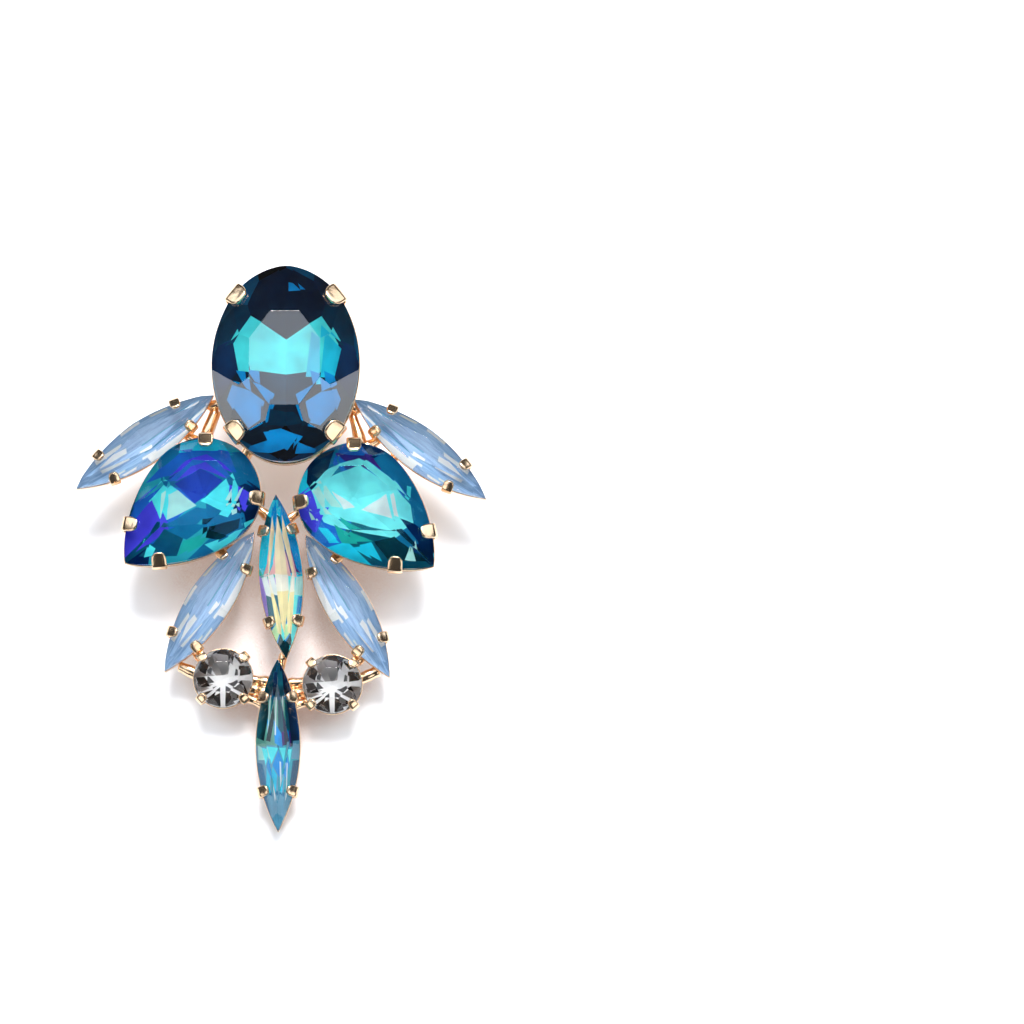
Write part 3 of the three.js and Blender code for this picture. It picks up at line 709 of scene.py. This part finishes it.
def wear_crown(bm, cut):
    """Bevels the crown's edges, and keeps the shading smooth only round the girdle."""
    facets = [e for e in bm.edges if not any(f.smooth for f in e.link_faces)]
    crown = [e for e in facets if all(f.material_index == GLASS for f in e.link_faces)]
    bmesh.ops.bevel(bm, geom=crown, offset=cut["edge"], segments=2, profile=0.5, affect="EDGES",
                    clamp_overlap=True, material=-1)
    for edge in bm.edges:
        edge.smooth = all(f.smooth for f in edge.link_faces)


def cut_stone(cut, back, inlays, flip):
    """A stone as a closed mesh: glass in front and at the girdle, foil on the facets behind."""
    bm = bmesh.new()
    layer = bm.loops.layers.float_color.new("foil")
    blank(bm, cut, layer)
    for no, co in crown_planes(cut):
        slice_off(bm, co, no, GLASS, BARE, layer)
    culet = Vector((0, 0, cut["culet"]))
    slice_off(bm, culet, Vector((0, 0, -1)), FOILED, FOIL_AND_PAINTED_LIGHT[back[0]["foils"][0]], layer)
    for row in back:
        for i, azimuth in enumerate(row["azimuths"]):
            no, co = facet_plane(cut, azimuth, row["axis"], row["rim"])
            foil = row["foils"][i % len(row["foils"])]
            slice_off(bm, co, -no, FOILED, FOIL_AND_PAINTED_LIGHT[foil], layer)
    for inlay in inlays:
        corners = [(x * flip, y) for x, y in inlay["corners"]]
        lay_in(bm, inlay["foil"], corners, layer)
    bmesh.ops.remove_doubles(bm, verts=bm.verts, dist=WELD)
    bmesh.ops.recalc_face_normals(bm, faces=bm.faces)
    wear_crown(bm, cut)
    return bm


def make_stone(stone, materials):
    back = stone["back"]
    foil = materials["silk_foil" if back == "opal" else "foil"]
    bm = cut_stone(CUTS[stone["cut"]], BACKS[back], INLAYS[back], stone.get("flip", 1))
    piece = object_of(stone["name"] + "_cut", bm, place_of(stone), [materials[stone["glass"]], foil])
    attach(piece, "root")
    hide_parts(stone["name"])


# -------- settings
def add_cup(bm, stone, cut):
    """A thin cup, round under its sides and flat at its back, hollow inside."""
    back = -stone["girdle"]
    depth = CUP_RISE - cut["girdle"] - back
    rings = []
    for row in CUP_SECTION:
        edge = outline(cut, row["out"] - cut["back_inset"] * row["inset"])
        z = back + depth * row["depth"] + row["rise"]
        rings.append([(x, y, z) for x, y in edge])
    loft(bm, rings)


def claw_path(stone, cut, point, normal, planes):
    """A claw's middle line from its root to its tip: how far out from the outline, and how high."""
    reach = cut["claws"]["reach"]
    half = CLAW["thick"] / 2
    out = CLAW["gap"] + half
    taper = cut["back_inset"] / (stone["girdle"] - cut["girdle"])

    def over(inward):
        spot = point - normal * inward
        return Vector((-inward, crown_height(planes, spot.x, spot.y) + CLAW["gap"] + half))

    return smoothed([
        Vector((-taper * CLAW["root"] - half, -cut["girdle"] - CLAW["root"])),
        Vector((out - CLAW["tuck"], -cut["girdle"] - CLAW["tuck"])),
        Vector((out + CLAW["bulge"], -cut["girdle"] * CLAW["waist"])),
        Vector((out + CLAW["bend"], over(0).y * CLAW["shoulder"])),
        over(reach * CLAW["fold"]) + Vector((0, CLAW["knuckle"])),
        over(reach * CLAW["lie"]),
        over(reach),
    ])


def rounded_off(share, end):
    """From end, where share is 0, up to 1, where it is 1 or more, as a quarter circle rises."""
    return end + (1 - end) * math.sqrt(max(0.0, 1 - (1 - min(1.0, share)) ** 2))


def claw_section(width, left):
    """The corners of a claw's section, across it and through it, with left of its length to go."""
    spread = width / 2 * rounded_off(left / (width / 2), CLAW["tip_width"])
    thick = CLAW["thick"] / 2 * rounded_off(left / CLAW["nose"], CLAW["tip_thick"])
    corners = []
    for k in range(CLAW["sides"]):
        t = 2 * math.pi * k / CLAW["sides"]
        c, s = math.cos(t), math.sin(t)
        u = spread * math.copysign(abs(c) ** CLAW["side_power"], c)
        v = thick * math.copysign(abs(s) ** CLAW["face_power"], s)
        corners.append((u, v))
    return corners


def add_claw(bm, stone, cut, azimuth, planes):
    """A claw: a rounded strip that leaves the cup's wall and folds over the girdle on to the crown."""
    point, normal = station_on(outline(cut), azimuth)
    path = claw_path(stone, cut, point, normal, planes)
    across = Vector((-normal.y, normal.x, 0))
    outwards = Vector((normal.x, normal.y, 0))
    base = Vector((point.x, point.y, 0))
    length = sum((b - a).length for a, b in zip(path, path[1:]))
    rings, gone = [], 0.0
    for i, p in enumerate(path):
        if i:
            gone += (p - path[i - 1]).length
        along = (path[min(i + 1, len(path) - 1)] - path[max(i - 1, 0)]).normalized()
        up = Vector((-along.y, along.x))
        ring = []
        for u, v in claw_section(cut["claws"]["width"], length - gone):
            flat = p - up * v
            ring.append(base + outwards * flat.x + Vector((0, 0, flat.y)) + across * u)
        rings.append(ring)
    loft(bm, rings)


def make_setting(stone, materials):
    cut = CUTS[stone["cut"]]
    planes = crown_planes(cut)
    bm = bmesh.new()
    add_cup(bm, stone, cut)
    for azimuth in cut["claws"]["azimuths"]:
        add_claw(bm, stone, cut, azimuth, planes)
    smooth_metal(bm)
    piece = object_of(stone["name"].replace("stone", "setting"), bm, place_of(stone), [materials["gold"]])
    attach(piece, "root")
    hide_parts("setting_frame")


# -------- solder
def in_cup(point):
    """Whether a point of the flat frame lies within a setting, taken as narrowing evenly to its back."""
    for stone in STONES:
        cut = CUTS[stone["cut"]]
        own = place_of(stone).inverted() @ point
        depth = (own.z + cut["girdle"]) / (cut["girdle"] - stone["girdle"])
        if inside(outline(cut, -cut["back_inset"] * depth), own.x, own.y):
            return True
    return False


def clear_of_cups(start, end):
    """start, moved towards end until it is out of every setting, or as it was if that takes too long."""
    for percent in range(60):
        point = start.lerp(end, percent / 100)
        if not in_cup(point):
            return point
    return start


def add_bar(bm, row):
    """A bar with uneven, drawn-out sides and rounded ends, as run solder has."""
    start = Vector((*row["start"], row["height"]))
    end = Vector((*row["end"], row["height"]))
    start, end = clear_of_cups(start, end), clear_of_cups(end, start)
    up = Vector((0, 0, 1))
    side = (end - start).normalized().cross(up)
    turns = [2 * math.pi * k / BAR["sides"] for k in range(BAR["sides"])]
    rings = []
    for i in range(BAR["steps"] + 1):
        t = i / BAR["steps"]
        swell = 1 + BAR["swell"] * math.sin(BAR["swell_rate"] * t + start.x)
        ripple = BAR["ripple"] * math.sin(BAR["ripple_rate"] * t + start.y)
        cap = math.sqrt(max(BAR["end_area"], 1 - (2 * t - 1) ** BAR["end_power"]))
        radius = row["radius"] * (swell + ripple) * cap
        middle = start.lerp(end, t)
        rings.append([middle + side * radius * math.cos(a) + up * radius * math.sin(a) for a in turns])
    loft(bm, rings)


def make_solder(materials):
    bm = bmesh.new()
    for row in SOLDER:
        add_bar(bm, row)
    smooth_metal(bm)
    piece = object_of("solder", bm, Matrix.Identity(4), [materials["gold"]])
    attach(piece, "root")
    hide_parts("setting_frame")


# -------- material nodes
def new_material(name):
    material = bpy.data.materials.new(name)
    material.use_nodes = True
    nodes, links = material.node_tree.nodes, material.node_tree.links
    return material, nodes, links, nodes["Principled BSDF"]


def set_inputs(node, values):
    for name, value in values.items():
        node.inputs[name].default_value = value


def noise(nodes, links, scale, detail):
    """Noise over the object's own coordinates, scale features a metre."""
    place = nodes.new("ShaderNodeTexCoord")
    texture = nodes.new("ShaderNodeTexNoise")
    set_inputs(texture, {"Scale": scale, "Detail": detail})
    links.new(place.outputs["Object"], texture.inputs["Vector"])
    return texture.outputs["Fac"]


def streaks(nodes, links):
    """Noise drawn out along a stone's own length."""
    place = nodes.new("ShaderNodeUVMap")
    place.uv_map = "plan"
    stretch = nodes.new("ShaderNodeMapping")
    set_inputs(stretch, {"Scale": (30, 3, 1)})
    texture = nodes.new("ShaderNodeTexNoise")
    set_inputs(texture, {"Scale": 1.6, "Detail": 3, "Distortion": 0.6})
    links.new(place.outputs["UV"], stretch.inputs["Vector"])
    links.new(stretch.outputs["Vector"], texture.inputs["Vector"])
    return texture.outputs["Fac"]


def bump(nodes, links, height, strength, distance):
    """A surface normal that follows a height, distance in metres."""
    node = nodes.new("ShaderNodeBump")
    set_inputs(node, {"Strength": strength, "Distance": distance})
    links.new(height, node.inputs["Height"])
    return node.outputs["Normal"]


def ramp(nodes, links, value, stops):
    """A colour for a value, between two stops of a position and a colour."""
    node = nodes.new("ShaderNodeValToRGB")
    elements = node.color_ramp.elements
    for element, (position, colour) in zip(elements, stops):
        element.position = position
        element.color = (*colour, 1)
    links.new(value, node.inputs["Fac"])
    return node.outputs["Color"]


def span(nodes, links, value, low, high, to_low=0.0, to_high=1.0):
    """A value between low and high, spread between to_low and to_high."""
    node = nodes.new("ShaderNodeMapRange")
    set_inputs(node, {"From Min": low, "From Max": high, "To Min": to_low, "To Max": to_high})
    links.new(value, node.inputs["Value"])
    return node.outputs["Result"]


def multiplied(nodes, links, colour, other):
    """The node that multiplies two colours."""
    node = nodes.new("ShaderNodeMix")
    node.data_type = "RGBA"
    node.blend_type = "MULTIPLY"
    set_inputs(node, {"Factor": 1})
    links.new(colour, node.inputs["A"])
    links.new(other, node.inputs["B"])
    return node


# -------- materials
def gold_material():
    """Pale gold plate, slightly uneven in tone, polish and surface."""
    material, nodes, links, shader = new_material("pale_gold_plate")
    set_inputs(shader, {"Metallic": 1})
    tone = noise(nodes, links, scale=700, detail=3)
    colour = ramp(nodes, links, tone, [(0.3, (0.86, 0.60, 0.38)), (0.7, (0.93, 0.70, 0.47))])
    links.new(colour, shader.inputs["Base Color"])
    polish = noise(nodes, links, scale=1500, detail=2)
    links.new(span(nodes, links, polish, 0, 1, 0.14, 0.22), shader.inputs["Roughness"])
    dents = noise(nodes, links, scale=900, detail=2)
    links.new(bump(nodes, links, dents, strength=0.25, distance=0.00012), shader.inputs["Normal"])
    return material


def foil_material(name, silky=False):
    """Foil on the back facets, each facet's colour and sheen: the stone's own colour with painted
    reflection and shade.
    """
    material, nodes, links, shader = new_material(name)
    set_inputs(shader, {"Specular IOR Level": 0})
    tint = nodes.new("ShaderNodeAttribute")
    tint.attribute_name = "foil"
    if silky:
        mottle = ramp(nodes, links, streaks(nodes, links), [(0.3, (0.55, 0.62, 0.75)), (0.62, WHITE)])
    else:
        clouds = noise(nodes, links, scale=420, detail=2)
        mottle = ramp(nodes, links, clouds, [(0.35, (0.75, 0.75, 0.78)), (0.65, WHITE)])
    mix = multiplied(nodes, links, tint.outputs["Color"], mottle)
    if silky:
        # The milky patches, painted highlights a little less satin than the rest, stay plain.
        links.new(span(nodes, links, tint.outputs["Alpha"], 0.85, 1), mix.inputs["Factor"])
    links.new(mix.outputs["Result"], shader.inputs["Base Color"])
    links.new(tint.outputs["Alpha"], shader.inputs["Roughness"])
    links.new(span(nodes, links, tint.outputs["Alpha"], 0.5, 0.9, 1, 0), shader.inputs["Metallic"])
    return material


def glass_material(name, tint, waviness, ripple=260, sheen=WHITE, coat=0.0):
    """Clear or tinted glass with a faintly uneven surface and, with a coat, a stronger reflection."""
    material, nodes, links, shader = new_material(name)
    set_inputs(shader, {"Base Color": (*tint, 1), "Transmission Weight": 1, "IOR": 1.55, "Roughness": 0})
    set_inputs(shader, {"Specular Tint": (*sheen, 1), "Coat Weight": coat})
    set_inputs(shader, {"Coat IOR": 1.7, "Coat Roughness": 0.02})
    waves = noise(nodes, links, scale=ripple, detail=1)
    links.new(bump(nodes, links, waves, waviness, distance=0.0002), shader.inputs["Normal"])
    return material


# How much of what is over it the surface sees where its painted shade is darkest and warmest, and
# from where it is plain white.
DEEPEST_PAINTED_SHADE, NO_PAINTED_SHADE = 0.2, 0.42


def floor_material():
    """A white surface, painted darker away from the earring, with painted warm shade and dimmer glow near
    it.
    """
    material, nodes, links, shader = new_material("white_surface")
    away = nodes.new("ShaderNodeVectorMath")
    away.operation = "LENGTH"
    links.new(nodes.new("ShaderNodeTexCoord").outputs["Object"], away.inputs[0])
    # Painted falloff of light: the surface's colour darkens from 0.1 to 0.4 metres away from the earring.
    far = span(nodes, links, away.outputs["Value"], 0.1, 0.4)
    far.node.interpolation_type = "SMOOTHSTEP"
    white = ramp(nodes, links, far, [(0, (0.88, 0.89, 0.92)), (1, (0.45, 0.45, 0.46))])
    # Painted shade: between the settings, where the surface sees less of what is over it, its colour is
    # painted darker and gold-tinted, for shade and the gold's bounce light.
    seen = nodes.new("ShaderNodeAmbientOcclusion")
    seen.samples = 4
    set_inputs(seen, {"Distance": 0.007})
    painted_warm_shade = ramp(nodes, links, seen.outputs["AO"], [(DEEPEST_PAINTED_SHADE, (0.56, 0.30, 0.19)), (NO_PAINTED_SHADE, WHITE)])
    tone = multiplied(nodes, links, white, painted_warm_shade)
    links.new(tone.outputs["Result"], shader.inputs["Base Color"])
    # Painted fill light: the surface glows faintly bluish, and the glow is painted down between the
    # settings.
    set_inputs(shader, {"Roughness": 0.7, "Emission Color": (0.88, 0.94, 1.0, 1)})
    painted_fill_glow = span(nodes, links, seen.outputs["AO"], DEEPEST_PAINTED_SHADE, NO_PAINTED_SHADE, 0.03, 0.24)
    links.new(painted_fill_glow, shader.inputs["Emission Strength"])
    return material


# Each kind of glass: its tint, how strongly and how finely its surface waves (ripple is in features
# a metre), the tint of its reflection, and its clear coat.
GLASSES = [
    dict(name="oval_glass", tint=(0.86, 0.98, 1.0), waviness=0.02, coat=1),
    dict(name="blue_pear_glass", tint=(0.9, 0.96, 1.0), waviness=0.8, ripple=420, sheen=(0.1, 0.25, 0.6)),
    dict(name="aqua_pear_glass", tint=(0.9, 1.0, 1.0), waviness=0.8, ripple=420, sheen=(0.1, 0.5, 0.6)),
    dict(name="opal_glass", tint=(0.97, 0.99, 1.0), waviness=0.25, coat=0.2),
    dict(name="aurora_glass", tint=WHITE, waviness=0.1),
    dict(name="teal_glass", tint=(0.85, 0.97, 1.0), waviness=0.15),
    dict(name="clear_glass", tint=WHITE, waviness=0.02),
]
MATERIALS = {
    "gold": gold_material(),
    "foil": foil_material("foil"),
    "silk_foil": foil_material("silk_foil", silky=True),
}
for glass in GLASSES:
    MATERIALS[glass["name"]] = glass_material(**glass)


# -------- the earring
for stone in STONES:
    make_stone(stone, MATERIALS)
    make_setting(stone, MATERIALS)
make_solder(MATERIALS)
bpy.data.objects["ear_clip"].data.materials.clear()
bpy.data.objects["ear_clip"].data.materials.append(MATERIALS["gold"])

# -------- surface, light and camera
FLOOR_REACH = 4  # metres from the earring to the surface's edges

# Softboxes round the object, in degrees and metres: where from, how far, how wide and high, how
# bright and, where it isn't white, of what tone.
SOFTBOXES = [
    dict(name="key", azimuth=90, elevation=66, distance=1, size=(2.4, 1.0), radiance=1.6,
         tone=(0.92, 0.98, 1.06)),
    dict(name="sun", azimuth=82, elevation=60, distance=2, size=(0.8, 0.8), radiance=24,
         tone=(1.0, 0.98, 0.96)),
    dict(name="left_fill", azimuth=220, elevation=37, distance=1, size=(0.6, 0.45), radiance=1.7),
    dict(name="right_fill", azimuth=320, elevation=37, distance=1, size=(0.6, 0.45), radiance=1.7),
    dict(name="left_low", azimuth=186, elevation=8, distance=1, size=(0.3, 0.22), radiance=1.7),
    dict(name="right_low", azimuth=354, elevation=8, distance=1, size=(0.3, 0.22), radiance=1.7),
]

# The camera looks straight at target, a point of the flat frame, tip degrees off square to the face.
# field is how wide it sees there. All but tip is in millimetres.
CAMERA = dict(lens=200.0, sensor=36.0, field=92.25, target=(20.81, -1.89, 3), tip=11)


def make_floor():
    bm = bmesh.new()
    bmesh.ops.create_grid(bm, x_segments=1, y_segments=1, size=FLOOR_REACH)
    obj = linked("surface", bm, [floor_material()])


def towards(azimuth, elevation):
    """A unit vector up from the object: azimuth anticlockwise from +X, both in degrees."""
    a, e = math.radians(azimuth), math.radians(elevation)
    return Vector((math.cos(a) * math.cos(e), math.sin(a) * math.cos(e), math.sin(e)))


def aim(obj, location, away):
    """Puts a light or camera at a place, looking against away."""
    obj.location = location
    obj.rotation_mode = "QUATERNION"
    obj.rotation_quaternion = away.to_track_quat("Z", "Y")
    bpy.context.scene.collection.objects.link(obj)


def make_softbox(box):
    width, height = box["size"]
    light = bpy.data.lights.new(box["name"], "AREA")
    light.shape = "RECTANGLE"
    light.size, light.size_y = width, height
    light.color = box.get("tone", WHITE)
    light.energy = box["radiance"] * math.pi * width * height
    obj = bpy.data.objects.new(box["name"], light)
    obj.visible_camera = False
    away = towards(box["azimuth"], box["elevation"])
    aim(obj, away * box["distance"], away)


def make_world():
    world = bpy.data.worlds.new("studio")
    world.use_nodes = True
    set_inputs(world.node_tree.nodes["Background"], {"Color": (0.93, 0.95, 1.0, 1), "Strength": 0.05})
    bpy.context.scene.world = world


def make_camera():
    target = FLAT @ Vector(CAMERA["target"])
    tip = math.radians(CAMERA["tip"])
    away = (FLAT.to_3x3() @ Vector((0, -math.sin(tip), math.cos(tip)))).normalized()
    data = bpy.data.cameras.new("camera")
    data.lens, data.sensor_width = CAMERA["lens"], CAMERA["sensor"]
    data.clip_start, data.clip_end = 0.01, 20
    camera = bpy.data.objects.new("camera", data)
    distance = CAMERA["field"] * MM * CAMERA["lens"] / CAMERA["sensor"]
    aim(camera, target + away * distance, away)
    bpy.context.scene.camera = camera


make_floor()
for box in SOFTBOXES:
    make_softbox(box)
make_world()
make_camera()

scene = bpy.context.scene
scene.view_settings.view_transform = "Standard"
scene.cycles.max_bounces = 24
scene.cycles.transmission_bounces = 20
scene.cycles.glossy_bounces = 16
scene.cycles.caustics_reflective = True
scene.cycles.caustics_refractive = True
